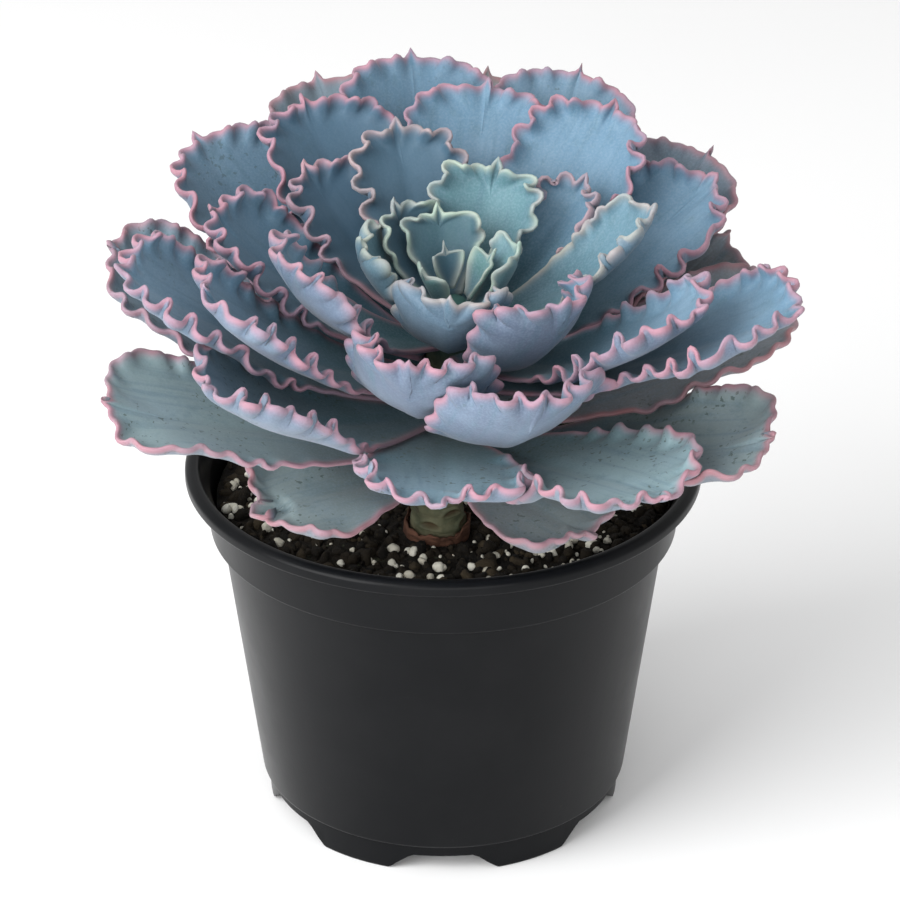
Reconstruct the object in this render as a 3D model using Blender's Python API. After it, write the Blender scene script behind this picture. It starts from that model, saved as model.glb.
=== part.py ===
"""Ruffled echeveria growing in a round nursery pot.

Metres, +Z up. The origin is the middle of the pot's underside, which stands on z = 0.
The plant grows from the soil on an axis of its own, which leans towards the front (-Y).
"""
import math

import bmesh
import bpy
from mathutils import Matrix, Vector

MM = 0.001
GAP = 0.3 * MM                      # clearance between pieces that touch

# Pot: a six inch azalea pot with a rolled lip, a shoulder band and a notched foot.
POT_HEIGHT = 113.0 * MM
LIP_RADIUS = 77.5 * MM
LIP_WIDTH = 4.5 * MM
LIP_BAND = 4.5 * MM
SHOULDER_DEPTH = 21.0 * MM          # from the top of the lip down to the shoulder's step
SHOULDER_TOP_RADIUS = LIP_RADIUS - 5.7 * MM
SHOULDER_FOOT_RADIUS = LIP_RADIUS - 7.3 * MM
WALL_TOP_RADIUS = LIP_RADIUS - 10.6 * MM
WALL_TAPER = 11.1 * MM
WALL_FOOT_RADIUS = WALL_TOP_RADIUS - WALL_TAPER
WALL_FOOT_HEIGHT = 10.0 * MM
FOOT_RING_RADIUS = WALL_FOOT_RADIUS - 2.2 * MM
FOOT_RING_WIDTH = 3.6 * MM
WALL = 1.6 * MM
FLOOR = 2.2 * MM
EDGE = 0.8 * MM                     # how far the moulded edges are rounded
GUTTER_WIDTH = 14.0 * MM            # between the foot ring and the middle, which stands
GUTTER_HEIGHT = 6.0 * MM
STANDING_RADIUS = FOOT_RING_RADIUS - FOOT_RING_WIDTH - GUTTER_WIDTH
SHOULDER_HEIGHT = POT_HEIGHT - SHOULDER_DEPTH
POT_SEGMENTS = 72
NOTCH_COUNT = 6
NOTCH_HEIGHT = GUTTER_HEIGHT - 0.2 * MM
NOTCH_FOOT_ANGLE = math.radians(17.0)
NOTCH_TOP_ANGLE = math.radians(10.5)
DRAIN_RADIUS = 3.5 * MM

# Soil: fills the pot up to a little below the lip, and is heaped round the stem.
SOIL_RECESS = 12.0 * MM
SOIL_HEIGHT = POT_HEIGHT - SOIL_RECESS
SOIL_HEAP = 3.0 * MM
SOIL_HEAP_RADIUS = 45.0 * MM
SOIL_WAVE = 0.6 * MM
SOIL_RINGS = 6
SOIL_SEGMENTS = 48

LEAF_BASE_THICKNESS = 3.0 * MM
LEAF_TIP_THICKNESS = 1.4 * MM
LEAF_STEP = LEAF_BASE_THICKNESS / 3.0   # the unit of height along the stem

# Stem: its axis starts on the soil and leans.
STEM_FOOT = Vector((-2.0 * MM, -29.0 * MM, SOIL_HEIGHT + 2.0 * MM))
LEAN_FORWARD = math.radians(9.0)
LEAN_RIGHT = math.radians(3.5)
STEM_RADIUS = 8.4 * MM
STEM_SHAPE = (                      # steps along the axis, share of the radius
    (-22.0, 0.48),
    (-18.0, 0.78),
    (-8.0, 0.98),
    (0.0, 1.0),
    (60.0, 0.9),
    (80.0, 0.6),
    (87.0, 0.26),
    (88.0, 0.12),
)
STEM_POCKET_TOP = 20.0              # steps; the soil is cut up to here
STEM_SEGMENTS = 20

# Leaves, from the lowest to the bud: azimuth from +X in degrees, steps up the stem,
# length and half width in millimetres, pitch at the base and at the tip in degrees.
LEAVES = (
    (208, 24.0, 50, 21, 10, -4),
    (322, 26.0, 46, 22, 8, -6),
    (337, 33.0, 98, 24, 17, 25),
    (85, 35.5, 122, 22, 16, 37),
    (197, 36.0, 98, 24, 11, 21),
    (311, 38.5, 88, 25, 22, 20),
    (37, 38.5, 102, 23, 9, 25),
    (112, 40.0, 117, 24, 18, 36),
    (13, 42.5, 100, 24, 9, 28),
    (268, 43.5, 66, 24, 22, 15),
    (171, 44.5, 103, 24, 12, 34),
    (57, 45.5, 104, 23, 11, 30),
    (217, 47.5, 88, 24, 10, 44),
    (44, 49.5, 108, 24, 13, 33),
    (139, 50.5, 104, 25, 13, 35),
    (69, 52.0, 110, 24, 17, 39),
    (192, 53.0, 102, 24, 18, 42),
    (289, 57.0, 78, 25, 2, 68),
    (98, 58.5, 105, 24, 15, 38),
    (337, 59.0, 108, 25, 21, 41),
    (207, 60.0, 88, 24, 14, 54),
    (34, 61.0, 92, 22, 10, 38),
    (122, 63.0, 90, 25, 14, 40),
    (257, 64.0, 70, 25, 0, 76),
    (170, 65.5, 77, 21, 14, 46),
    (84, 66.5, 88, 25, 13, 41),
    (329, 67.0, 86, 23, 14, 54),
    (309, 70.5, 60, 23, 12, 82),
    (56, 72.5, 85, 24, 13, 40),
    (208, 72.5, 68, 21, 14, 67),
    (139, 73.5, 61, 20, 13, 44),
    (46, 74.5, 56, 18, 14, 48),
    (109, 76.5, 61, 20, 16, 50),
    (266, 76.5, 44, 20, 16, 84),
    (6, 77.0, 65, 19, 16, 61),
    (184, 78.0, 36, 14, 29, 72),
    (74, 79.5, 45, 18, 20, 54),
    (134, 81.0, 32, 12, 32, 62),
    (0, 81.5, 26, 12, 50, 80),
    (105, 83.0, 26, 13, 34, 60),
    (220, 84.0, 20, 7, 66, 80),
    (18, 85.0, 17, 7, 70, 82),
    (115, 86.0, 13, 6, 60, 76),
)
LEAF_BASE_SHARE = 0.24              # half width at the base, as a share of the widest
LEAF_WIDEST = 0.76                  # where along its length a leaf is widest
BUD_THICKNESS_SHARE = 0.45          # the inner leaves' thickness, as a share of the outer
LEAF_CUP = 0.25                     # how far the margins rise, as a share of the half width
LEAF_ROWS = (0.0, 0.12, 0.26, 0.42, 0.58, 0.72, 0.84, 0.92, 0.97)
LEAF_COLUMNS = (-1.0, -0.5, 0.0, 0.5, 1.0)


def clear_scene():
    for thing in list(bpy.data.objects):
        bpy.data.objects.remove(thing, do_unlink=True)


def material(name, colour, roughness, metallic=0.0):
    """A plain Principled material."""
    made = bpy.data.materials.new(name)
    made.use_nodes = True
    shader = made.node_tree.nodes["Principled BSDF"]
    shader.inputs["Base Color"].default_value = (*colour, 1.0)
    shader.inputs["Roughness"].default_value = roughness
    shader.inputs["Metallic"].default_value = metallic
    return made


def add_object(name, bm, finish=None, parent=None):
    """Turn a bmesh into a smooth-shaded object."""
    bmesh.ops.recalc_face_normals(bm, faces=bm.faces)
    mesh = bpy.data.meshes.new(name)
    bm.to_mesh(mesh)
    bm.free()
    mesh.shade_smooth()
    mesh.set_sharp_from_angle(angle=math.radians(35.0))
    thing = bpy.data.objects.new(name, mesh)
    bpy.context.scene.collection.objects.link(thing)
    if finish:
        mesh.materials.append(finish)
    thing.parent = parent
    return thing


def bridge(bm, lower, upper):
    """Join two rings of equal length with quads."""
    count = len(lower)
    for index in range(count):
        after = (index + 1) % count
        bm.faces.new((lower[index], lower[after], upper[after], upper[index]))


def ring(bm, radius, segments, height_at):
    """A level or wavy ring of points; height_at gives the height at x and y."""
    made = []
    for index in range(segments):
        angle = 2.0 * math.pi * index / segments
        x = radius * math.cos(angle)
        y = radius * math.sin(angle)
        made.append(bm.verts.new((x, y, height_at(x, y))))
    return made


def skin(bm, rings, first_height, last_height):
    """Join rings from one pole on the axis to the other."""
    for lower, upper in zip(rings, rings[1:]):
        bridge(bm, lower, upper)
    for loop, height in ((rings[0], first_height), (rings[-1], last_height)):
        pole = bm.verts.new((0.0, 0.0, height))
        for index in range(len(loop)):
            bm.faces.new((loop[index], loop[(index + 1) % len(loop)], pole))
    return bm


def turned(profile, segments):
    """Turn (radius, height) points, which start and end on the axis, round Z."""
    bm = bmesh.new()
    rings = []
    for radius, height in profile[1:-1]:
        rings.append(ring(bm, radius, segments, lambda x, y, level=height: level))
    return skin(bm, rings, profile[0][1], profile[-1][1])


def cut(thing, cutter):
    """Cut one object with another, which then stays as a hidden guide."""
    cutter.hide_render = True
    cutter.display_type = "WIRE"
    change = thing.modifiers.new("cut_" + cutter.name, "BOOLEAN")
    change.operation = "DIFFERENCE"
    change.solver = "EXACT"
    change.object = cutter


def wall_radius(height):
    """Outer radius of the pot's tapered wall at a height."""
    share = (height - WALL_FOOT_HEIGHT) / (SHOULDER_HEIGHT - WALL_FOOT_HEIGHT)
    return WALL_FOOT_RADIUS + (WALL_TOP_RADIUS - WALL_FOOT_RADIUS) * share


def pot_outside():
    """Outer profile, from the foot ring up to the top of the lip."""
    band_foot = POT_HEIGHT - LIP_BAND
    return [
        (FOOT_RING_RADIUS - FOOT_RING_WIDTH, 0.0),
        (FOOT_RING_RADIUS - EDGE, 0.0),
        (FOOT_RING_RADIUS, EDGE),
        (FOOT_RING_RADIUS, WALL_FOOT_HEIGHT - EDGE),
        (WALL_FOOT_RADIUS, WALL_FOOT_HEIGHT),
        (WALL_TOP_RADIUS, SHOULDER_HEIGHT),
        (SHOULDER_FOOT_RADIUS - EDGE, SHOULDER_HEIGHT),
        (SHOULDER_FOOT_RADIUS, SHOULDER_HEIGHT + EDGE),
        (SHOULDER_TOP_RADIUS, band_foot),
        (LIP_RADIUS - EDGE, band_foot),
        (LIP_RADIUS, band_foot + EDGE),
        (LIP_RADIUS, POT_HEIGHT - 2.0 * EDGE),
        (LIP_RADIUS - 0.6 * EDGE, POT_HEIGHT - 0.6 * EDGE),
        (LIP_RADIUS - 2.0 * EDGE, POT_HEIGHT),
    ]


def pot_inside():
    """Inner profile, from the top of the lip down to the floor."""
    inner_foot = WALL_FOOT_HEIGHT + FLOOR
    return [
        (LIP_RADIUS - LIP_WIDTH + EDGE, POT_HEIGHT),
        (LIP_RADIUS - LIP_WIDTH, POT_HEIGHT - EDGE),
        (SHOULDER_TOP_RADIUS - WALL, POT_HEIGHT - LIP_BAND - WALL),
        (SHOULDER_FOOT_RADIUS - WALL, SHOULDER_HEIGHT + 1.5 * WALL),
        (WALL_TOP_RADIUS - WALL, SHOULDER_HEIGHT),
        (wall_radius(inner_foot) - WALL, inner_foot),
        (FOOT_RING_RADIUS - FOOT_RING_WIDTH, GUTTER_HEIGHT + FLOOR),
        (STANDING_RADIUS + 2.0 * FLOOR, GUTTER_HEIGHT + FLOOR),
        (STANDING_RADIUS, FLOOR),
    ]


def pot_underside():
    """The gutter's underside, from the standing middle out to the foot ring."""
    return [
        (STANDING_RADIUS, 0.0),
        (STANDING_RADIUS + 2.0 * FLOOR, GUTTER_HEIGHT),
        (FOOT_RING_RADIUS - FOOT_RING_WIDTH, GUTTER_HEIGHT),
    ]


def notch_cutter():
    """Six drain notches through the foot ring, and six holes through the gutter behind them."""
    bm = bmesh.new()
    inner = FOOT_RING_RADIUS - FOOT_RING_WIDTH - 2.0 * MM
    outer = FOOT_RING_RADIUS + 4.0 * MM
    for index in range(NOTCH_COUNT):
        middle = -0.5 * math.pi + 2.0 * math.pi * index / NOTCH_COUNT
        corners = []
        for radius in (inner, outer):
            for side, angle, height in (
                (-1, NOTCH_FOOT_ANGLE, -1.0 * MM),
                (1, NOTCH_FOOT_ANGLE, -1.0 * MM),
                (1, NOTCH_TOP_ANGLE, NOTCH_HEIGHT),
                (-1, NOTCH_TOP_ANGLE, NOTCH_HEIGHT),
            ):
                turn = middle + side * angle
                reach = radius / math.cos(angle)
                corners.append(bm.verts.new((reach * math.cos(turn), reach * math.sin(turn), height)))
        bm.faces.new(corners[0:4])
        bm.faces.new(corners[4:8])
        bridge(bm, corners[0:4], corners[4:8])
    return add_object("notch_cutter", bm)


def drain_cutter():
    bm = bmesh.new()
    radius = 0.5 * (STANDING_RADIUS + 2.0 * FLOOR + FOOT_RING_RADIUS - FOOT_RING_WIDTH)
    for index in range(NOTCH_COUNT):
        angle = -0.5 * math.pi + 2.0 * math.pi * index / NOTCH_COUNT
        place = Matrix.Translation((
            radius * math.cos(angle),
            radius * math.sin(angle),
            GUTTER_HEIGHT + 0.5 * FLOOR,
        ))
        bmesh.ops.create_cone(
            bm, cap_ends=True, segments=16, radius1=DRAIN_RADIUS, radius2=DRAIN_RADIUS,
            depth=3.0 * FLOOR, matrix=place,
        )
    return add_object("drain_cutter", bm)


def build_pot():
    black = material("pot_plastic", (0.02, 0.021, 0.023), 0.42)
    outline = pot_outside() + pot_inside()
    profile = [(0.0, 0.0)] + pot_underside() + outline[1:] + [(0.0, FLOOR)]
    pot = add_object("pot", turned(profile, POT_SEGMENTS), black)
    cut(pot, notch_cutter())
    cut(pot, drain_cutter())
    return pot


def soil_height(x, y):
    """Height of the soil's surface, heaped round the stem."""
    away = math.hypot(x - STEM_FOOT.x, y - STEM_FOOT.y) / SOIL_HEAP_RADIUS
    waves = math.sin(x / (11.0 * MM)) * math.cos(y / (9.0 * MM))
    return SOIL_HEIGHT + SOIL_HEAP * math.exp(-away * away) + SOIL_WAVE * waves


def soil_sides():
    """(radius, height) points of the soil against the pot, from the floor up."""
    sides = []
    for radius, height in reversed(pot_inside()[3:]):
        lift = GAP if height < SHOULDER_HEIGHT else 0.0
        sides.append((radius - 2.0 * GAP, height + lift))
    return sides


def build_soil(stem_pocket):
    brown = material("soil", (0.035, 0.022, 0.014), 0.95)
    bm = bmesh.new()
    rings = []
    for radius, height in soil_sides():
        rings.append(ring(bm, radius, SOIL_SEGMENTS, lambda x, y, level=height: level))
    top_radius = soil_sides()[-1][0]
    for step in range(SOIL_RINGS):
        radius = top_radius * (1.0 - step / SOIL_RINGS)
        rings.append(ring(bm, radius, SOIL_SEGMENTS, soil_height))
    skin(bm, rings, FLOOR + GAP, soil_height(0.0, 0.0))
    soil = add_object("soil", bm, brown)
    cut(soil, stem_pocket)
    return soil


def stem_radius(steps):
    """Radius of the stem at a number of steps along its axis."""
    for (low, thick), (high, thin) in zip(STEM_SHAPE, STEM_SHAPE[1:]):
        if steps <= high:
            share = max(0.0, (steps - low) / (high - low))
            return STEM_RADIUS * (thick + (thin - thick) * share)
    return STEM_RADIUS * STEM_SHAPE[-1][1]


def stem_profile(grown=0.0, top=STEM_SHAPE[-1][0]):
    """The stem's (radius, height) points up to a step, grown outwards."""
    steps = [step for step, _ in STEM_SHAPE if step < top] + [top]
    points = [(stem_radius(step) + grown, step * LEAF_STEP) for step in steps]
    foot = points[0][1] - grown
    points[0] = (points[0][0], foot)
    return [(0.0, foot)] + points + [(0.0, points[-1][1])]


def plant_axis():
    """The empty that carries the plant. Its Z is the stem's leaning axis."""
    axis = Vector((math.sin(LEAN_RIGHT), -math.sin(LEAN_FORWARD), 0.0))
    axis.z = math.sqrt(1.0 - axis.length_squared)
    across = Vector((1.0, 0.0, 0.0))
    across = (across - axis * across.dot(axis)).normalized()
    back = axis.cross(across)
    empty = bpy.data.objects.new("plant_axis", None)
    bpy.context.scene.collection.objects.link(empty)
    turn = Matrix((across, back, axis)).transposed().to_4x4()
    empty.matrix_world = Matrix.Translation(STEM_FOOT) @ turn
    return empty


def build_stem(axis):
    green = material("stem", (0.16, 0.12, 0.06), 0.8)
    return add_object("stem", turned(stem_profile(), STEM_SEGMENTS), green, axis)


def build_stem_pocket(axis):
    profile = stem_profile(GAP, STEM_POCKET_TOP)
    return add_object("stem_pocket", turned(profile, STEM_SEGMENTS), None, axis)


def leaf_half_width(share, half_width):
    """Half width at a share of the length: narrow base, widest near the rounded tip."""
    if share < LEAF_WIDEST:
        grown = math.sin(0.5 * math.pi * share / LEAF_WIDEST)
        return half_width * (LEAF_BASE_SHARE + (1.0 - LEAF_BASE_SHARE) * grown ** 1.3)
    past = (share - LEAF_WIDEST) / (1.0 - LEAF_WIDEST)
    return half_width * math.sqrt(max(0.0, 1.0 - past ** 2.2))


def midrib(distance, length, base_pitch, tip_pitch):
    """Reach outwards, rise and pitch of a leaf's arched midrib at a distance along it."""
    bend = (tip_pitch - base_pitch) / length
    pitch = base_pitch + bend * distance
    if abs(bend) < 1e-6:
        return distance * math.cos(base_pitch), distance * math.sin(base_pitch), pitch
    reach = (math.sin(pitch) - math.sin(base_pitch)) / bend
    rise = (math.cos(base_pitch) - math.cos(pitch)) / bend
    return reach, rise, pitch


def leaf_point(share, across, depth, start, length, half_width, base_pitch, tip_pitch):
    """A point of a leaf that points along +X from the axis.

    The blade is wrapped on a cone about the stem's axis, so that the leaves nest like
    bowls; across runs from -1 to 1 over the width, and depth goes below the upper face.
    """
    reach, rise, pitch = midrib(share * length, length, base_pitch, tip_pitch)
    radius = start + reach
    slant = radius / math.cos(pitch)
    aside = across * leaf_half_width(share, half_width)
    slip = math.hypot(slant, aside) - slant
    turn = math.atan2(aside, slant) / math.cos(pitch)
    lift = LEAF_CUP * half_width * across * across * share - depth
    radius += slip * math.cos(pitch) - lift * math.sin(pitch)
    height = rise + slip * math.sin(pitch) + lift * math.cos(pitch)
    return Vector((radius * math.cos(turn), radius * math.sin(turn), height))


def leaf_mesh(start, length, half_width, base_pitch, tip_pitch, thickness_share):
    bm = bmesh.new()
    shape = (start, length, half_width, base_pitch, tip_pitch)
    rings = []
    for share in LEAF_ROWS:
        thickness = LEAF_BASE_THICKNESS + (LEAF_TIP_THICKNESS - LEAF_BASE_THICKNESS) * share
        thickness *= thickness_share
        upper = []
        for across in LEAF_COLUMNS:
            upper.append(bm.verts.new(leaf_point(share, across, 0.0, *shape)))
        lower = []
        for across in reversed(LEAF_COLUMNS[1:-1]):
            depth = thickness * math.sqrt(1.0 - across * across)
            lower.append(bm.verts.new(leaf_point(share, across, depth, *shape)))
        rings.append(upper + lower)
    for inner, outer in zip(rings, rings[1:]):
        bridge(bm, inner, outer)
    tip = bm.verts.new(leaf_point(1.0, 0.0, 0.2 * thickness, *shape))
    last = rings[-1]
    for index in range(len(last)):
        bm.faces.new((last[index], last[(index + 1) % len(last)], tip))
    base = rings[0]
    bm.faces.new((base[0], base[1], base[7]))
    bm.faces.new((base[1], base[2], base[6], base[7]))
    bm.faces.new((base[2], base[3], base[5], base[6]))
    bm.faces.new((base[3], base[4], base[5]))
    return bm


def build_leaves(axis):
    green = material("leaf", (0.30, 0.38, 0.44), 0.6)
    for index, row in enumerate(LEAVES):
        azimuth, steps, length, half_width, base_pitch, tip_pitch = row
        age = 1.0 - index / (len(LEAVES) - 1)
        bm = leaf_mesh(
            stem_radius(steps) + 2.0 * GAP, length * MM, half_width * MM,
            math.radians(base_pitch), math.radians(tip_pitch),
            BUD_THICKNESS_SHARE + (1.0 - BUD_THICKNESS_SHARE) * age,
        )
        leaf = add_object(f"leaf_{index + 1:02d}", bm, green, axis)
        leaf.location = (0.0, 0.0, steps * LEAF_STEP)
        leaf.rotation_euler = (0.0, 0.0, math.radians(azimuth))


def main():
    clear_scene()
    axis = plant_axis()
    build_pot()
    build_soil(build_stem_pocket(axis))
    build_stem(axis)
    build_leaves(axis)


main()
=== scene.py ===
"""Looks of the potted ruffled echeveria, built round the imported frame."""
import math

import bmesh
import bpy
import numpy as np
from mathutils import Matrix, Vector, noise
from mathutils.bvhtree import BVHTree


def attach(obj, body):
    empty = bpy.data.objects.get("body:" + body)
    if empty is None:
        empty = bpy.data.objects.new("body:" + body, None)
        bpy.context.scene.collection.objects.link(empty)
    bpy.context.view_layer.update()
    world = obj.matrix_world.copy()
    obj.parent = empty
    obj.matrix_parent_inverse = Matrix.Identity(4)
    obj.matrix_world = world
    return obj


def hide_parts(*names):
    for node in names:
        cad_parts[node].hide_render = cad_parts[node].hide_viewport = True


MM = 0.001
ABOUT_A_TURN = 6.28     # radians, for the start of a random wave

# Camera: in front of the pot, looking down on it from a little way off.
CAMERA_ELEVATION = math.radians(27.9)
CAMERA_DISTANCE = 1.4
CAMERA_TARGET = Vector((2.0 * MM, 0.0, 115.5 * MM))
CAMERA_LENS = 186.9

# Stem axis, as in the frame.
STEM_FOOT = Vector((-2.0, -29.0, 103.0)) * MM
LEAN_FORWARD = math.radians(9.0)
LEAN_RIGHT = math.radians(3.5)
LEAF_START_GAP = 0.6 * MM

# Leaves, from the lowest to the bud: azimuth from +X, height along the stem, length and
# half width (mm), pitch at the base and tip (degrees), then how frilled the margin is, how
# far it curls up (degrees), how cupped the blade is, and how red-brown it has aged.
LEAVES = (
    (208, 24.0, 52, 22, 10, -4, 0.30, 80, 0.05, 0.5),
    (322, 26.0, 48, 22, 8, -6, 0.25, 80, 0.05, 0.7),
    (337, 33.0, 99, 25, 17, 25, 0.45, 30, 0.20, 0.5),
    (85, 35.5, 122, 22, 16, 37, 0.25, 8, 0.20, 0.9),
    (197, 36.0, 99, 25, 11, 21, 0.40, 30, 0.20, 0.3),
    (311, 38.5, 89, 26, 22, 20, 0.85, 45, 0.12, 0.1),
    (37, 38.5, 102, 24, 9, 25, 0.40, 12, 0.20, 1.0),
    (112, 40.0, 117, 24, 18, 36, 0.40, 8, 0.20, 0.7),
    (13, 42.5, 101, 25, 9, 28, 0.40, 15, 0.22, 0.9),
    (268, 43.5, 68, 25, 22, 15, 0.90, 60, 0.05, 0.0),
    (171, 44.5, 104, 25, 12, 34, 0.60, 28, 0.16, 0.4),
    (57, 45.5, 104, 24, 11, 30, 0.45, 12, 0.20, 0.8),
    (217, 47.5, 90, 25, 10, 44, 1.00, 50, 0.30, 0.1),
    (44, 49.5, 108, 24, 13, 33, 0.50, 12, 0.22, 0.6),
    (139, 50.5, 104, 26, 13, 35, 0.85, 25, 0.25, 0.1),
    (69, 52.0, 110, 25, 17, 39, 0.60, 10, 0.20, 0.1),
    (192, 53.0, 104, 24, 18, 42, 1.00, 34, 0.18, 0.0),
    (289, 57.0, 80, 26, 2, 68, 1.00, 18, 0.42, 0.0),
    (98, 58.5, 105, 25, 15, 38, 0.70, 10, 0.22, 0.0),
    (337, 59.0, 110, 25, 21, 41, 1.00, 38, 0.18, 0.0),
    (207, 60.0, 90, 23, 14, 54, 1.05, 38, 0.20, 0.0),
    (34, 61.0, 92, 22, 10, 38, 0.95, 45, 0.20, 0.0),
    (122, 63.0, 90, 24, 14, 40, 1.00, 30, 0.22, 0.0),
    (257, 64.0, 71, 26, 0, 76, 1.00, 12, 0.45, 0.0),
    (170, 65.5, 77, 20, 14, 46, 1.05, 38, 0.20, 0.0),
    (84, 66.5, 88, 24, 13, 41, 0.95, 20, 0.20, 0.0),
    (329, 67.0, 88, 22, 14, 54, 1.05, 42, 0.20, 0.0),
    (309, 70.5, 61, 24, 12, 82, 1.00, 25, 0.40, 0.0),
    (56, 72.5, 86, 21, 13, 40, 1.00, 35, 0.22, 0.0),
    (208, 72.5, 69, 20, 14, 67, 1.05, 36, 0.22, 0.0),
    (139, 73.5, 62, 17, 13, 44, 1.00, 35, 0.35, 0.0),
    (46, 74.5, 57, 14, 14, 48, 1.00, 80, 0.35, 0.0),
    (109, 76.5, 62, 18, 16, 50, 1.00, 30, 0.25, 0.0),
    (266, 76.5, 45, 21, 16, 84, 0.80, 10, 0.45, 0.0),
    (6, 77.0, 65, 14, 16, 61, 0.90, 50, 0.35, 0.0),
    (184, 78.0, 37, 14, 29, 72, 0.90, 50, 0.28, 0.0),
    (74, 79.5, 46, 18, 20, 54, 1.00, 12, 0.35, 0.0),
    (134, 81.0, 33, 12, 32, 62, 0.80, 20, 0.30, 0.0),
    (0, 81.5, 27, 11, 50, 76, 0.60, 10, 0.20, 0.0),
    (105, 83.0, 27, 13, 34, 60, 0.70, 5, 0.20, 0.0),
    (220, 84.0, 19, 6, 66, 58, 0.30, 0, 0.12, 0.0),
    (18, 85.0, 17, 6, 70, 60, 0.30, 0, 0.12, 0.0),
    (115, 86.0, 14, 5, 72, 62, 0.30, 0, 0.12, 0.0),
)
LEAF_BASE_SHARE = 0.24
LEAF_WIDEST = 0.76
LEAF_COLUMNS = 20
COLUMN_CROWDING = 1.45      # columns crowd towards the margin
FAN_START = 0.5             # past this share the rows fan out towards the tip
FAN_REACH = 0.36
OUTLINE_SAMPLES = 4000
SAMPLE_CROWDING = 1.7       # samples crowd towards the tip
OUTLINE_SPACING = 0.75 * MM
BASE_SAVING = 0.165         # share of the length that wider spacing at the base saves
BASE_STRETCH = 0.06 / 0.148
MUCRO_LENGTH = 4.4 * MM
MUCRO_HALF_WIDTH = 2.2 * MM
BODY_THICKNESS = 2.3 * MM
EDGE_THICKNESS = 1.25 * MM
KEEL_THICKNESS = 1.3 * MM
KEEL_WIDTH = 2.6 * MM
GROOVE_DEPTH = 0.6 * MM
GROOVE_WIDTH = 2.6 * MM
BROAD_LEAF = 18.0 * MM      # a half width from which rolls and ruffles have full size
CURL_WIDTH = 6.5 * MM       # how wide the rolled margin is
CURL_WANDER = 14.0 * MM     # the roll tightens and opens over this length
FRILL_WAVELENGTH = 9.5 * MM
FRILL_HEIGHT = 3.1 * MM
FRILL_REACH = 0.65 * MM     # how far ruffles go out and in
FRILL_SLIDE = 0.5 * MM      # and how far along the margin
FRILL_NEAR = 3.8 * MM       # ruffles fade over this distance from the margin
FRILL_DRIFT = 15.0 * MM     # their spacing varies over this length
SIZE_DRIFT = 9.0 * MM       # and their size over this one
CALM_TIP = 4.5 * MM         # the margin is calm this near to the pointed tip
SLOW_WAVE = 20.0 * MM       # the slow wave that the whole blade follows
WAVE_NEAR = 10.0 * MM
RIM_REACH = 0.22            # shares of the thickness that shape the rounded rim
RIM_BEVEL = 0.14
SETTLE_MARGIN = 2.0 * MM
PINK_WIDTH = 2.0 * MM
SHADIEST_AZIMUTH = 135.0     # degrees; the upright leaves on this side get the most painted shade, a deeper blue

# Pot, as in the frame.
POT_HEIGHT = 113.0 * MM
LIP_RADIUS = 77.5 * MM
LIP_WIDTH = 4.5 * MM
LIP_BAND = 4.5 * MM
SHOULDER_HEIGHT = 92.0 * MM
SHOULDER_TOP_RADIUS = LIP_RADIUS - 5.7 * MM
SHOULDER_FOOT_RADIUS = LIP_RADIUS - 7.3 * MM
WALL_TOP_RADIUS = LIP_RADIUS - 10.6 * MM
WALL_FOOT_RADIUS = WALL_TOP_RADIUS - 11.1 * MM
WALL_FOOT_HEIGHT = 10.0 * MM
FOOT_RING_RADIUS = WALL_FOOT_RADIUS - 2.2 * MM
FOOT_RING_WIDTH = 3.6 * MM
WALL = 1.6 * MM
FLOOR = 2.2 * MM
GUTTER_HEIGHT = 6.0 * MM
STANDING_RADIUS = FOOT_RING_RADIUS - FOOT_RING_WIDTH - 14.0 * MM
NOTCH_COUNT = 6
NOTCH_HEIGHT = 5.8 * MM
NOTCH_FOOT_ANGLE = math.radians(17.0)
POT_SEGMENTS = 240

SOIL_HEIGHT = POT_HEIGHT - 12.0 * MM
SOIL_HEAP = 3.0 * MM
SOIL_HEAP_RADIUS = 45.0 * MM
SOIL_RADIUS = SHOULDER_FOOT_RADIUS - WALL - 0.4 * MM
SOIL_MARGIN = 1.5 * MM
STEM_CLEARANCE = 9.5 * MM
CRUMB_COUNT = 2450
PERLITE_COUNT = 520

# Height along the stem and radius there (mm).
STEM_SHAPE = (
    (-22, 4.0), (-18, 6.5), (-8, 8.2), (0, 8.4),
    (60, 7.5), (80, 5.0), (87, 2.2), (88, 1.0),
)
STEM_TOP = 84.0         # where the bare stem ends (mm), just under the bud's own leaves
SHEATH_LAYERS = 16
SHEATH_RADIUS = 8.55    # mm
SHEATH_THICKNESS = 0.28
GOLDEN_SHARE = 0.381966     # of a turn, between one layer and the next
WORLD_STRENGTH = 0.60


# ---------------------------------------------------------------- helpers

def new_object(name, mesh, body="root"):
    thing = bpy.data.objects.new(name, mesh)
    bpy.context.scene.collection.objects.link(thing)
    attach(thing, body)
    return thing


def mesh_from(name, points, faces):
    mesh = bpy.data.meshes.new(name)
    mesh.from_pydata([tuple(point) for point in points], [], faces)
    mesh.update()
    mesh.shade_smooth()
    return mesh


def weld(mesh, within=0.002 * MM):
    """Join points that coincide, and face everything outwards."""
    bm = bmesh.new()
    bm.from_mesh(mesh)
    bmesh.ops.remove_doubles(bm, verts=bm.verts, dist=within)
    bmesh.ops.recalc_face_normals(bm, faces=bm.faces)
    bm.to_mesh(mesh)
    bm.free()
    mesh.shade_smooth()


def set_colours(mesh, name, values):
    """Store four numbers for each vertex."""
    layer = mesh.attributes.new(name, "FLOAT_COLOR", "POINT")
    layer.data.foreach_set("color", np.asarray(values, np.float32).ravel())


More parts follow.
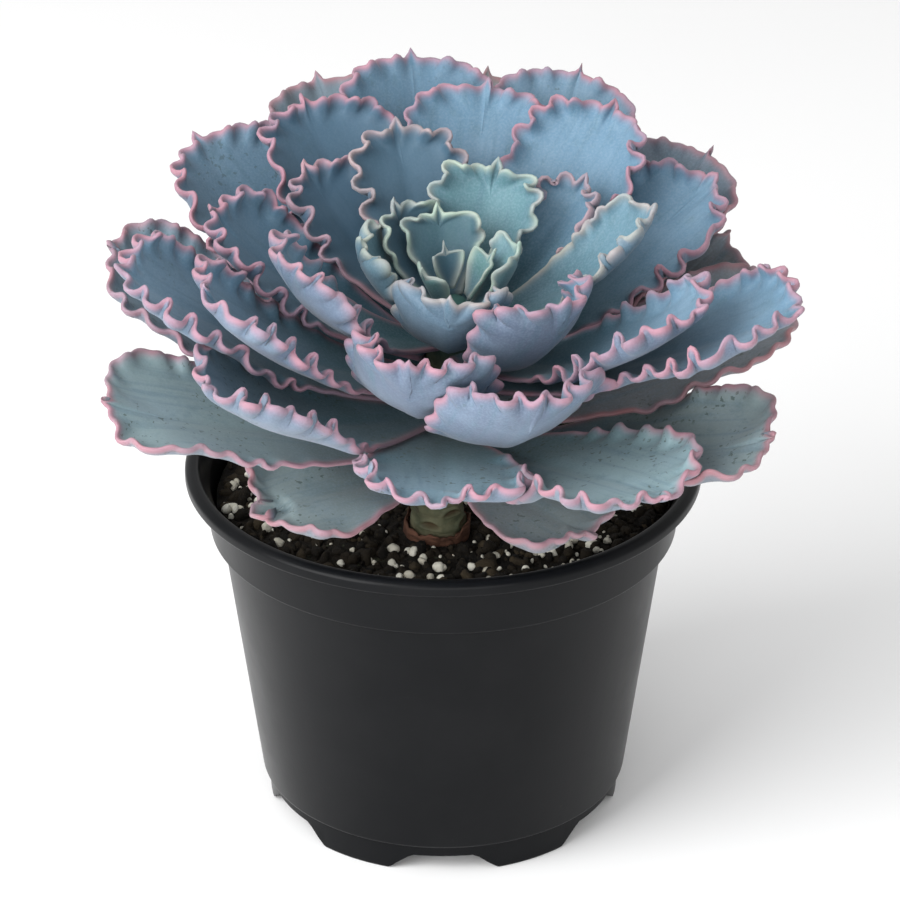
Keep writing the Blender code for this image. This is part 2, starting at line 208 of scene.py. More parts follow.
class Nodes:
    """A short way to write a node material."""

    def __init__(self, name):
        self.material = bpy.data.materials.new(name)
        self.material.use_nodes = True
        self.tree = self.material.node_tree
        self.shader = self.tree.nodes["Principled BSDF"]

    def add(self, kind, **settings):
        node = self.tree.nodes.new(kind)
        for key, value in settings.items():
            setattr(node, key, value)
        return node

    def link(self, source, target):
        self.tree.links.new(source, target)

    def put(self, value, target):
        """Link an output, or set a constant."""
        if isinstance(value, bpy.types.NodeSocket):
            self.link(value, target)
        elif isinstance(value, tuple) and len(value) == 3 and target.type == "RGBA":
            target.default_value = (*value, 1.0)
        else:
            target.default_value = value

    def math(self, operation, first, second):
        node = self.add("ShaderNodeMath", operation=operation)
        self.put(first, node.inputs[0])
        self.put(second, node.inputs[1])
        return node.outputs[0]

    def mix(self, factor, first, second):
        """Blend two colours."""
        node = self.add("ShaderNodeMix", data_type="RGBA")
        self.put(factor, node.inputs[0])
        self.put(first, node.inputs[6])
        self.put(second, node.inputs[7])
        return node.outputs[2]

    def spread(self, value, low, high, out_low=0.0, out_high=1.0):
        """Map a range smoothly, clamped."""
        node = self.add("ShaderNodeMapRange", interpolation_type="SMOOTHSTEP")
        self.put(value, node.inputs["Value"])
        for key, number in (
            ("From Min", low), ("From Max", high),
            ("To Min", out_low), ("To Max", out_high),
        ):
            self.put(number, node.inputs[key])
        return node.outputs["Result"]

    def noise(self, scale, detail=3.0, roughness=0.5, stretch=(1.0, 1.0, 1.0)):
        place = self.add("ShaderNodeTexCoord").outputs["Object"]
        mapping = self.add("ShaderNodeMapping")
        self.link(place, mapping.inputs["Vector"])
        mapping.inputs["Scale"].default_value = stretch
        node = self.add("ShaderNodeTexNoise")
        self.link(mapping.outputs[0], node.inputs["Vector"])
        node.inputs["Scale"].default_value = scale
        node.inputs["Detail"].default_value = detail
        node.inputs["Roughness"].default_value = roughness
        return node.outputs["Fac"]

    def bump(self, height, strength, distance):
        node = self.add("ShaderNodeBump")
        self.put(height, node.inputs["Height"])
        node.inputs["Strength"].default_value = strength
        node.inputs["Distance"].default_value = distance
        return node.outputs[0]

    def set(self, **values):
        for key, value in values.items():
            self.put(value, self.shader.inputs[key.replace("_", " ")])


def plant_matrix():
    axis = Vector((math.sin(LEAN_RIGHT), -math.sin(LEAN_FORWARD), 0.0))
    axis.z = math.sqrt(1.0 - axis.length_squared)
    across = Vector((1.0, 0.0, 0.0))
    across = (across - axis * across.dot(axis)).normalized()
    back = axis.cross(across)
    turn = Matrix((across, back, axis)).transposed().to_4x4()
    return Matrix.Translation(STEM_FOOT) @ turn


def stem_radius(height):
    heights = [row[0] for row in STEM_SHAPE]
    radii = [row[1] for row in STEM_SHAPE]
    return float(np.interp(height, heights, radii)) * MM


def waves(position, seed, count=4):
    """Smooth wandering between -1 and 1 along a line, different for each seed."""
    random = np.random.RandomState(seed)
    total = np.zeros_like(position)
    for step in range(count):
        pace = 0.6 + step * 0.9 + random.rand() * 0.5
        total += np.sin(position * pace + random.rand() * ABOUT_A_TURN)
    return total / count


# ---------------------------------------------------------------- leaves

def outline_half_width(share, length, half_width):
    """Half width of the blade with its pointed tip."""
    blade_end = 1.0 - 0.75 * MUCRO_LENGTH / length
    grown = np.sin(0.5 * np.pi * np.clip(share / LEAF_WIDEST, 0.0, 1.0))
    rising = LEAF_BASE_SHARE + (1.0 - LEAF_BASE_SHARE) * grown ** 1.3
    past = np.clip((share - LEAF_WIDEST) / (blade_end - LEAF_WIDEST), 0.0, 1.0)
    blade = half_width * rising * (1.0 - past ** 2.5) ** (1.0 / 2.3)
    reach = np.clip((1.0 - share) * length / MUCRO_LENGTH, 0.0, 1.0)
    point = MUCRO_HALF_WIDTH * min(1.0, half_width / (12 * MM)) * reach ** 1.3
    point = np.where(share > blade_end - 0.25 * (1.0 - blade_end), point, 0.0)
    return np.maximum(blade, point)


def even_outline(length, half_width):
    """Points along half of the outline, closer towards the tip: share, half width, arc."""
    share = 1.0 - (1.0 - np.linspace(0.0, 1.0, OUTLINE_SAMPLES)) ** SAMPLE_CROWDING
    width = outline_half_width(share, length, half_width)
    steps = np.hypot(np.diff(share) * length, np.diff(width))
    arc = np.concatenate([[0.0], np.cumsum(steps)])
    count = int((arc[-1] - BASE_SAVING * length) / OUTLINE_SPACING)
    spaced = np.linspace(0.0, 1.0, count)
    even = arc[-1] * (spaced + BASE_STRETCH * spaced * (1.0 - spaced) ** 2)
    return np.interp(even, arc, share), np.interp(even, arc, width), even


def on_bowl(share, aside, lift, start, length, base_pitch, tip_pitch):
    """The frame's leaf rule: a blade wrapped on a cone about the stem's axis."""
    bend = (tip_pitch - base_pitch) / length
    distance = share * length
    pitch = base_pitch + bend * distance
    reach = (np.sin(pitch) - math.sin(base_pitch)) / bend
    rise = (math.cos(base_pitch) - np.cos(pitch)) / bend
    radius = start + reach
    slant = radius / np.cos(pitch)
    slip = np.hypot(slant, aside) - slant
    turn = np.arctan2(aside, slant) / np.cos(pitch)
    radius = radius + slip * np.cos(pitch) - lift * np.sin(pitch)
    height = rise + slip * np.sin(pitch) + lift * np.cos(pitch)
    return np.stack([radius * np.cos(turn), radius * np.sin(turn), height], axis=-1)


def unit(vectors):
    return vectors / np.maximum(np.linalg.norm(vectors, axis=-1, keepdims=True), 1e-12)


def ease(value, low, high):
    share = np.clip((value - low) / (high - low), 0.0, 1.0)
    return share * share * (3.0 - 2.0 * share)


def grid_normals(points, middle, weight):
    """Normals of a grid, which turn into the given ones where the grid is too fine to tell."""
    normal = unit(np.cross(np.gradient(points, axis=0), np.gradient(points, axis=1)))
    weight = weight[..., None]
    return unit(normal * weight + middle * (1.0 - weight))


def neighbours(values):
    """A grid and its eight shifted copies."""
    padded = np.pad(values, 1, mode="edge")
    rows, columns = values.shape
    copies = [padded[i:i + rows, j:j + columns] for i in range(3) for j in range(3)]
    return np.stack(copies)


def depth_in(tree, point, down, reach=8.0 * MM):
    """How far a point must go along down to leave a closed mesh above or round it."""
    origin = Vector(point)
    down = Vector(down)
    gone = 0.0
    for _ in range(3):
        spot, _, _, distance = tree.ray_cast(origin + down * (gone + 0.02 * MM), down, reach - gone)
        if spot is None:
            break
        gone += distance + 0.02 * MM
    return gone + 0.3 * MM if gone else 0.0


def painted_shade_share(azimuth, tip_pitch):
    """How much painted shade, a deeper blue, a leaf gets: most on the upright leaves at the back
    left.
    """
    turned_to = math.cos(math.radians(azimuth - SHADIEST_AZIMUTH))
    return ease(turned_to, 0.62, 0.97) * ease(tip_pitch, 30.0, 44.0)


class Leaf:
    """The middle surface of a leaf as a grid: rows round the outline, columns to the margin."""

    def __init__(self, index, row):
        azimuth, height, length, half_width, base_pitch, tip_pitch, frill, curl, cup, old = row
        self.index = index
        self.old = old
        self.painted_shade = painted_shade_share(azimuth, tip_pitch)
        self.length = length * MM
        self.half_width = half_width * MM
        self.cup = cup
        self.pose = (
            stem_radius(height) + LEAF_START_GAP, self.length,
            math.radians(base_pitch), math.radians(tip_pitch + 0.01),
        )
        self.lay_out()
        self.points = self.blade(self.u, self.v)
        step = 0.002
        along = self.blade(self.u + step, self.v) - self.blade(self.u - step, self.v)
        over = self.blade(self.u, self.v + 0.1 * MM) - self.blade(self.u, self.v - 0.1 * MM)
        self.plain_normal = unit(np.cross(along, over))
        self.weight = ease(self.column, 0.05, 0.35)
        self.grown = ease(self.u, 0.25, 0.6)
        self.age = 1.0 - index / (len(LEAVES) - 1)
        self.turn = np.array(Matrix.Rotation(math.radians(azimuth), 3, "Z"))
        self.foot = np.array((0.0, 0.0, height * MM))
        self.curl_up(math.radians(curl))
        self.ruffle(frill)

    def lay_out(self):
        share, width, arc = even_outline(self.length, self.half_width)
        bent = FAN_REACH * (1.0 - np.exp(-np.maximum(share - FAN_START, 0.0) / FAN_REACH))
        middle = np.where(share < FAN_START, share, FAN_START + bent)
        column = 1.0 - (1.0 - np.linspace(0.0, 1.0, LEAF_COLUMNS)) ** COLUMN_CROWDING
        u = middle[:, None] + (share - middle)[:, None] * column
        v = width[:, None] * column
        away = np.hypot((share - middle) * self.length, width)[:, None] * (1.0 - column)
        arcs = np.broadcast_to(arc[:, None], u.shape)
        # Left half from the base to the tip, then the right half back to the base.
        self.u = np.concatenate([u, u[-2::-1]])
        self.v = np.concatenate([v, -v[-2::-1]])
        self.away = np.concatenate([away, away[-2::-1]])
        self.arcs = np.concatenate([arcs, 2.0 * arc[-1] - arcs[-2::-1]])
        self.column = np.broadcast_to(column, self.u.shape)
        self.to_tip = np.abs(self.arcs - arc[-1])

    def blade(self, u, v):
        """Cupped across, with a shallow groove down the middle."""
        bend = 2.0 * max(self.cup, 0.02) * np.clip(u, 0.05, 1.0) / self.half_width
        lift = (1.0 - np.cos(bend * v)) / bend
        groove = np.exp(-(v / GROOVE_WIDTH) ** 2) * np.sin(np.pi * np.clip(u, 0.0, 1.0))
        lift -= GROOVE_DEPTH * groove
        return on_bowl(u, np.sin(bend * v) / bend, lift, *self.pose)

    def directions(self):
        normal = grid_normals(self.points, self.plain_normal, self.weight)
        outwards = unit(np.gradient(self.points, axis=1))
        return normal, outwards, np.cross(outwards, normal)

    def curl_up(self, angle):
        """Turn the margin up like the edge of a dish."""
        width = CURL_WIDTH * min(1.0, self.half_width / BROAD_LEAF)
        reached = np.maximum(width - self.away, 0.0)
        wander = 1.0 + 0.3 * waves(self.arcs / CURL_WANDER, 700 + self.index)
        tipwards = 0.25 * ease(self.u, 0.2, 0.5) + 0.75 * ease(self.u, 0.5, 0.85)
        sides = 1.0 - 0.6 * np.exp(-(self.to_tip / (0.8 * self.half_width)) ** 2)
        bend = np.maximum(angle * wander * tipwards * sides, 0.02) / width
        normal, outwards, _ = self.directions()
        out = np.sin(bend * reached) / bend - reached
        up = (1.0 - np.cos(bend * reached)) / bend
        self.points = self.points + out[..., None] * outwards + up[..., None] * normal

    def ruffle(self, frill):
        """Wind the margin up and down, in and out, and along itself."""
        normal, outwards, tangent = self.directions()
        room = min(1.0, self.half_width / BROAD_LEAF)
        wave = FRILL_WAVELENGTH * (0.72 + 0.28 * room)
        drift = waves(self.arcs / FRILL_DRIFT, 300 + self.index)
        phase = 2.0 * np.pi * self.arcs / wave + 1.7 * drift
        size = np.maximum(0.85 + 0.75 * waves(self.arcs / SIZE_DRIFT, 500 + self.index), 0.25)
        calm = 1.0 - 0.9 * np.exp(-(self.to_tip / CALM_TIP) ** 2)
        strength = frill * size * calm * self.grown * room
        near = np.exp(-(self.away / (FRILL_NEAR * room)) ** 2)
        far = np.exp(-(self.away / (WAVE_NEAR * room)) ** 2) * self.weight
        up = FRILL_HEIGHT * strength * near * (0.82 * np.sin(phase) + 0.26)
        slow = waves(self.arcs / SLOW_WAVE, 100 + self.index)
        up += (1.3 + 3.0 * self.age ** 2) * MM * slow * far * self.grown * room
        out = -FRILL_REACH * strength * near * np.cos(2.0 * phase)
        slide = -FRILL_SLIDE * strength * near * np.sin(2.0 * phase)
        self.points = self.points + (
            up[..., None] * normal + out[..., None] * outwards + slide[..., None] * tangent
        )

    def in_plant(self, points):
        """Points of the leaf in the plant's own frame, with the stem along Z."""
        return points @ self.turn.T + self.foot

    def settle(self, above):
        """Press the blade down wherever it would poke through a newer leaf."""
        points = self.in_plant(self.points)
        downs = -self.plain_normal @ self.turn.T
        press = np.zeros(self.u.shape)
        for tree, low, high in above:
            inside = np.all((points > low) & (points < high + SETTLE_MARGIN), axis=-1)
            inside[1::2] = False    # every other row is close enough
            for spot in np.argwhere(inside):
                spot = tuple(spot)
                press[spot] = max(press[spot], depth_in(tree, points[spot], downs[spot]))
        for _ in range(2):
            press = np.maximum(press, neighbours(press).max(axis=0))
        for _ in range(3):
            press = neighbours(press).mean(axis=0)
        self.points = self.points - press[..., None] * self.plain_normal

    def faces_of(self):
        """Both faces of the blade and the half-round margin between them."""
        normal, outwards, _ = self.directions()
        stout = (0.5 + 0.5 * self.age) * min(1.0, self.half_width / (13.0 * MM))
        body = np.sqrt(np.clip(self.away / (0.7 * self.half_width), 0.0, 1.0))
        thick = EDGE_THICKNESS * (0.6 + 0.4 * stout)
        thick = thick + BODY_THICKNESS * stout * body * (1.0 - 0.4 * self.u)
        keel = KEEL_THICKNESS * stout * np.exp(-np.abs(self.v) / KEEL_WIDTH) * (1.0 - self.u)
        thick = (thick + keel)[..., None]
        upper = self.points.copy()
        lower = self.points - normal * thick
        edge = outwards[:, -1] * thick[:, -1]
        rim = 0.5 * (upper[:, -1] + lower[:, -1]) + 0.5 * edge
        bevel = normal[:, -1] * thick[:, -1] * RIM_BEVEL
        upper[:, -1] += RIM_REACH * edge - bevel
        lower[:, -1] += RIM_REACH * edge + bevel
        return upper, lower, rim


def quads(grid, flip=False):
    corners = (grid[:-1, :-1], grid[1:, :-1], grid[1:, 1:], grid[:-1, 1:])
    if flip:
        corners = corners[::-1]
    return np.stack([part.ravel() for part in corners], axis=1)


def build_leaf(index, row, finish, place, above):
    shape = Leaf(index, row)
    shape.settle(above)
    upper, lower, rim = shape.faces_of()
    rows, columns = shape.u.shape
    top = np.arange(rows * columns).reshape(rows, columns)
    bottom = top + rows * columns
    edge = np.arange(rows) + 2 * rows * columns
    faces = np.concatenate([
        quads(top),
        quads(bottom, True),
        quads(np.stack([top[:, -1], edge], axis=1)),
        quads(np.stack([edge, bottom[:, -1]], axis=1)),
    ]).tolist()
    faces.append([*top[0][::-1], *bottom[0], edge[0]])
    faces.append([*top[-1], edge[-1], *bottom[-1][::-1]])

    points = shape.in_plant(np.concatenate([upper.reshape(-1, 3), lower.reshape(-1, 3), rim]))
    under = np.concatenate([np.zeros(top.size), np.ones(top.size), np.full(rows, 0.5)])
    away = np.concatenate([shape.away.ravel(), shape.away.ravel(), np.zeros(rows)])
    along = np.concatenate([shape.u.ravel(), shape.u.ravel(), shape.u[:, -1]])
    aside = np.concatenate([shape.v.ravel(), shape.v.ravel(), shape.v[:, -1]])
    name = f"echeveria_leaf_{index + 1:02d}"
    mesh = mesh_from(name, points, [[int(item) for item in face] for face in faces])
    set_colours(mesh, "leaf_map", np.stack([
        np.exp(-away / PINK_WIDTH), along, under, 0.5 + 0.5 * aside / shape.half_width,
    ], axis=1))
    kind = (shape.age, shape.old, shape.painted_shade, 1.0)
    set_colours(mesh, "leaf_kind", np.tile(kind, (len(points), 1)))
    tree = BVHTree.FromPolygons(points.tolist(), faces)
    above.append((tree, points.min(axis=0), points.max(axis=0)))
    mesh.transform(place)
    weld(mesh)
    mesh.materials.append(finish)
    leaf = new_object(name, mesh)
    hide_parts(f"leaf_{index + 1:02d}")


def leaf_material():
    n = Nodes("leaf_skin")
    spot = n.add("ShaderNodeAttribute", attribute_name="leaf_map")
    parts = n.add("ShaderNodeSeparateColor")
    n.link(spot.outputs["Color"], parts.inputs[0])
    edge, along, under = parts.outputs
    aside = spot.outputs["Alpha"]
    whole = n.add("ShaderNodeAttribute", attribute_name="leaf_kind")
    kinds = n.add("ShaderNodeSeparateColor")
    n.link(whole.outputs["Color"], kinds.inputs[0])
    age, blush, painted_shade = kinds.outputs

    young = (0.080, 0.195, 0.185)
    middle = (0.112, 0.215, 0.310)
    # The old, lowest leaves are grey-green, and this colour is also lightened as painted light on
    # them.
    old = (0.27, 0.385, 0.385)
    blade = n.mix(n.spread(age, 0.02, 0.30), young, middle)
    blade = n.mix(n.spread(age, 0.62, 1.0), blade, old)
    # Towards the base the blade turns teal-green, and darker as painted shade where the leaves
    # above overlap it.
    green_and_shaded_base = n.spread(along, 0.78, 0.15)
    blade = n.mix(n.math("MULTIPLY", green_and_shaded_base, 0.92), blade, (0.034, 0.105, 0.122))
    lilac = n.math("MULTIPLY", under, n.spread(age, 0.05, 0.35))
    blade = n.mix(n.math("MULTIPLY", lilac, 0.75), blade, (0.105, 0.118, 0.178))
    blade = n.mix(n.math("MULTIPLY", blush, 0.75), blade, (0.16, 0.13, 0.13))

    # Bloom: a pale powder, patchy, thinner where it has been rubbed.
    cloud = n.noise(38.0, 4.0, 0.6)
    blade = n.mix(n.spread(cloud, 0.42, 0.75, 0.0, 0.30), blade, (0.26, 0.37, 0.47))
    # Faint lines along the leaf.
    lines = n.add("ShaderNodeCombineXYZ")
    n.put(n.math("MULTIPLY", aside, 14.0), lines.inputs[0])
    n.put(n.math("MULTIPLY", along, 1.6), lines.inputs[1])
    n.put(n.math("MULTIPLY", age, 90.0), lines.inputs[2])
    veins = n.add("ShaderNodeTexNoise")
    n.link(lines.outputs[0], veins.inputs["Vector"])
    veins.inputs["Scale"].default_value = 1.6
    veins.inputs["Detail"].default_value = 4.0
    line_shade = n.spread(veins.outputs["Fac"], 0.46, 0.74, 0.0, 0.36)
    blade = n.mix(line_shade, blade, (0.065, 0.14, 0.19))
    streak = n.noise(160.0, 5.0, 0.7, (1.0, 1.0, 0.35))
    blade = n.mix(n.spread(streak, 0.52, 0.72, 0.0, 0.38), blade, (0.075, 0.15, 0.18))
    grain = n.noise(1500.0, 2.0, 0.5)
    blade = n.mix(n.spread(grain, 0.35, 0.75, 0.0, 0.14), blade, (0.36, 0.46, 0.55))
    # Small dark scars on the older leaves.
    marks = n.noise(620.0, 2.0, 0.5)
    patches = n.noise(45.0, 2.0, 0.5)
    scar = n.math("MULTIPLY", n.spread(marks, 0.62, 0.67), n.spread(patches, 0.44, 0.56))
    scar = n.math("MULTIPLY", scar, n.spread(age, 0.45, 0.8))
    blade = n.mix(n.math("MULTIPLY", scar, 0.7), blade, (0.05, 0.08, 0.07))

    # Painted shade: the upright leaves at the back left are darkened to a deeper blue.
    blade = n.mix(n.math("MULTIPLY", painted_shade, 0.78), blade, (0.026, 0.066, 0.108))

    cream = (0.36, 0.45, 0.37)
    pink = (0.375, 0.180, 0.225)
    brown = (0.30, 0.125, 0.12)
    margin = n.mix(n.spread(age, 0.10, 0.34), cream, pink)
    margin = n.mix(n.math("MULTIPLY", blush, 0.8), margin, brown)
    margin = n.mix(n.spread(n.noise(90.0, 3.0), 0.35, 0.7, 0.0, 0.4), margin, (0.32, 0.22, 0.29))
    uneven = n.spread(n.noise(70.0, 3.0), 0.35, 0.62, 0.62, 0.92)
    rim = n.math("MULTIPLY", n.spread(edge, 0.18, 1.0), uneven)
    colour = n.mix(rim, blade, margin)
    n.set(
        Base_Color=colour,
        Roughness=n.spread(cloud, 0.3, 0.7, 0.52, 0.68),
        Normal=n.bump(n.math("ADD", n.math("MULTIPLY", grain, 0.25), streak), 0.18, 0.4 * MM),
        Subsurface_Weight=0.12,
        Subsurface_Scale=0.004,
        Specular_IOR_Level=0.35,
        Sheen_Weight=0.12,
        Sheen_Roughness=0.5,
    )
    n.shader.inputs["Subsurface Radius"].default_value = (0.5, 0.8, 0.7)
    return n.material


# ---------------------------------------------------------------- pot

def rounded(points, radius=0.8 * MM, steps=4):
    """A profile with its corners rounded."""
    made = [points[0]]
    for before, corner, after in zip(points, points[1:], points[2:]):
        before, corner, after = Vector(before), Vector(corner), Vector(after)
        back = before - corner
        on = after - corner
        cut = min(radius, 0.45 * back.length, 0.45 * on.length)
        start = corner + back.normalized() * cut
        end = corner + on.normalized() * cut
        for step in range(steps + 1):
            share = step / steps
            arc = start.lerp(corner, share).lerp(corner.lerp(end, share), share)
            made.append(tuple(arc))
    made.append(points[-1])
    return made


def turned(name, profile, segments):
    """Turn (radius, height) points, which start and end on the axis, round Z."""
    angles = np.linspace(0.0, 2.0 * np.pi, segments, endpoint=False)
    radii = np.array([point[0] for point in profile[1:-1]])
    heights = np.array([point[1] for point in profile[1:-1]])
    x = radii[:, None] * np.cos(angles)
    y = radii[:, None] * np.sin(angles)
    z = np.broadcast_to(heights[:, None], x.shape)
    points = np.stack([x, y, z], axis=-1).reshape(-1, 3)
    grid = np.arange(points.shape[0]).reshape(len(radii), segments)
    grid = np.concatenate([grid, grid[:, :1]], axis=1)
    faces = quads(grid, True).tolist()
    first = points.shape[0]
    points = np.concatenate([points, [[0.0, 0.0, profile[0][1]], [0.0, 0.0, profile[-1][1]]]])
    for index in range(segments):
        faces.append((first, int(grid[0, index + 1]), int(grid[0, index])))
        faces.append((first + 1, int(grid[-1, index]), int(grid[-1, index + 1])))
    mesh = mesh_from(name, points, faces)
    weld(mesh)
    return mesh


def pot_profile():
    """Underside, outside up to the lip, and inside down to the floor."""
    band_foot = POT_HEIGHT - LIP_BAND
    inner_foot = WALL_FOOT_HEIGHT + FLOOR
    share = (inner_foot - WALL_FOOT_HEIGHT) / (SHOULDER_HEIGHT - WALL_FOOT_HEIGHT)
    inner_foot_radius = WALL_FOOT_RADIUS + (WALL_TOP_RADIUS - WALL_FOOT_RADIUS) * share - WALL
    gutter = STANDING_RADIUS + 2.0 * FLOOR
    return [
        (0.0, 0.0),
        (STANDING_RADIUS, 0.0),
        (gutter, GUTTER_HEIGHT),
        (FOOT_RING_RADIUS - FOOT_RING_WIDTH, GUTTER_HEIGHT),
        (FOOT_RING_RADIUS - FOOT_RING_WIDTH, 0.0),
        (FOOT_RING_RADIUS, 0.0),
        (FOOT_RING_RADIUS, WALL_FOOT_HEIGHT - 0.9 * MM),
        (WALL_FOOT_RADIUS, WALL_FOOT_HEIGHT),
        (WALL_TOP_RADIUS, SHOULDER_HEIGHT),
        (SHOULDER_FOOT_RADIUS, SHOULDER_HEIGHT + 0.3 * MM),
        (SHOULDER_TOP_RADIUS, band_foot),
        (LIP_RADIUS, band_foot + 0.2 * MM),
        (LIP_RADIUS, POT_HEIGHT - 1.3 * MM),
        (LIP_RADIUS - 1.6 * MM, POT_HEIGHT),
        (LIP_RADIUS - LIP_WIDTH + 0.9 * MM, POT_HEIGHT),
        (LIP_RADIUS - LIP_WIDTH, POT_HEIGHT - 1.2 * MM),
        (SHOULDER_TOP_RADIUS - WALL, band_foot - WALL),
        (SHOULDER_FOOT_RADIUS - WALL, SHOULDER_HEIGHT + 1.5 * WALL),
        (WALL_TOP_RADIUS - WALL, SHOULDER_HEIGHT),
        (inner_foot_radius, inner_foot),
        (FOOT_RING_RADIUS - FOOT_RING_WIDTH, GUTTER_HEIGHT + FLOOR),
        (gutter, GUTTER_HEIGHT + FLOOR),
        (STANDING_RADIUS, FLOOR),
        (0.0, FLOOR),
    ]


def notch_cutter():
    """Six drain notches through the foot ring, with rounded feet."""
    bm = bmesh.new()
    inner = FOOT_RING_RADIUS - FOOT_RING_WIDTH - 2.0 * MM
    outer = FOOT_RING_RADIUS + 4.0 * MM
    outline = [(-1.35, -1.0), (-1.1, 0.0), (-1.0, 0.16), (-0.68, 0.84), (-0.56, 1.0)]
    outline += [(-side, level) for side, level in reversed(outline)]
    for index in range(NOTCH_COUNT):
        middle = -0.5 * math.pi + 2.0 * math.pi * index / NOTCH_COUNT
        loops = []
        for radius in (inner, outer):
            loop = []
            for side, level in outline:
                angle = side * NOTCH_FOOT_ANGLE
                reach = radius / math.cos(angle)
                loop.append(bm.verts.new((
                    reach * math.cos(middle + angle), reach * math.sin(middle + angle),
                    level * NOTCH_HEIGHT,
                )))
            loops.append(loop)
        bm.faces.new(loops[0])
        bm.faces.new(reversed(loops[1]))
        for spot in range(len(outline)):
            after = (spot + 1) % len(outline)
            bm.faces.new((loops[0][after], loops[0][spot], loops[1][spot], loops[1][after]))
    bmesh.ops.recalc_face_normals(bm, faces=bm.faces)
    mesh = bpy.data.meshes.new("notches")
    bm.to_mesh(mesh)
    bm.free()
    return mesh


def cut_mesh(mesh, cutter):
    """A mesh with another cut out of it; both objects used for it are removed."""
    body = bpy.data.objects.new("cut_body", mesh)
    tool = bpy.data.objects.new("cut_tool", cutter)
    for thing in (body, tool):
        bpy.context.scene.collection.objects.link(thing)
    change = body.modifiers.new("cut", "BOOLEAN")
    change.operation = "DIFFERENCE"
    change.solver = "EXACT"
    change.object = tool
    depsgraph = bpy.context.evaluated_depsgraph_get()
    made = bpy.data.meshes.new_from_object(body.evaluated_get(depsgraph))
    for thing in (body, tool):
        bpy.data.objects.remove(thing)
    return made


def pot_material():
    n = Nodes("black_polypropylene")
    cloud = n.noise(30.0, 4.0, 0.6)
    fine = n.noise(900.0, 2.0, 0.5)
    scuffs = n.noise(60.0, 6.0, 0.75, (1.0, 1.0, 9.0))
    colour = n.mix(n.spread(cloud, 0.3, 0.8), (0.0034, 0.0038, 0.0046), (0.0056, 0.0060, 0.0068))
    colour = n.mix(n.spread(scuffs, 0.66, 0.8, 0.0, 0.25), colour, (0.03, 0.031, 0.033))
    dust = n.spread(n.noise(420.0, 3.0, 0.7), 0.68, 0.78)
    dust = n.math("MULTIPLY", dust, n.spread(cloud, 0.5, 0.65))
    colour = n.mix(n.math("MULTIPLY", dust, 0.35), colour, (0.11, 0.09, 0.07))
    shine = n.spread(cloud, 0.3, 0.75, 0.28, 0.36)
    roughness = n.math("ADD", shine, n.math("MULTIPLY", dust, 0.25))
    n.set(
        Base_Color=colour,
        Roughness=roughness,
        Normal=n.bump(fine, 0.06, 0.2 * MM),
        Specular_IOR_Level=0.12,
    )
    return n.material


def build_pot():
    mesh = cut_mesh(turned("nursery_pot", rounded(pot_profile()), POT_SEGMENTS), notch_cutter())
    mesh.name = "nursery_pot"
    mesh.shade_smooth()
    mesh.set_sharp_from_angle(angle=math.radians(38.0))
    mesh.materials.clear()
    mesh.materials.append(pot_material())
    pot = new_object("nursery_pot", mesh)
    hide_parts("pot")


# ---------------------------------------------------------------- soil

def soil_height(x, y):
    """Height of the soil's surface, heaped round the stem."""
    away = math.hypot(x - STEM_FOOT.x, y - STEM_FOOT.y) / SOIL_HEAP_RADIUS
    spot = Vector((x, y, 0.0)) / (14.0 * MM)
    lumps = noise.fractal(spot, 0.9, 2.1, 5)
    return SOIL_HEIGHT + SOIL_HEAP * math.exp(-away * away) + 1.6 * MM * lumps


def soil_mesh():
    rings = 64
    segments = 320
    angles = np.linspace(0.0, 2.0 * np.pi, segments, endpoint=False)
    rows = []
    for ring in range(rings):
        radius = SOIL_RADIUS * (1.0 - (ring / rings))
        row = []
        for angle in angles:
            x = radius * math.cos(angle)
            y = radius * math.sin(angle)
            row.append((x, y, soil_height(x, y)))
        rows.append(row)
    sides = (
        (STANDING_RADIUS, FLOOR + 0.3 * MM),
        (WALL_FOOT_RADIUS - 3.0 * MM, WALL_FOOT_HEIGHT + FLOOR),
        (WALL_TOP_RADIUS - 2.4 * MM, SHOULDER_HEIGHT - 1.0 * MM),
        (SOIL_RADIUS, SHOULDER_HEIGHT + 3.0 * MM),
    )
    for radius, height in reversed(sides):
        rows.insert(0, [(radius * math.cos(a), radius * math.sin(a), height) for a in angles])
    points = np.array(rows).reshape(-1, 3)
    grid = np.arange(len(points)).reshape(len(rows), segments)
    grid = np.concatenate([grid, grid[:, :1]], axis=1)
    faces = quads(grid, True).tolist()
    first = len(points)
    points = np.concatenate([points, [(0.0, 0.0, sides[0][1]), (0.0, 0.0, soil_height(0.0, 0.0))]])
    for index in range(segments):
        faces.append((first, int(grid[0, index + 1]), int(grid[0, index])))
        faces.append((first + 1, int(grid[-1, index]), int(grid[-1, index + 1])))
    mesh = mesh_from("potting_soil", points, faces)
    weld(mesh)
    return mesh


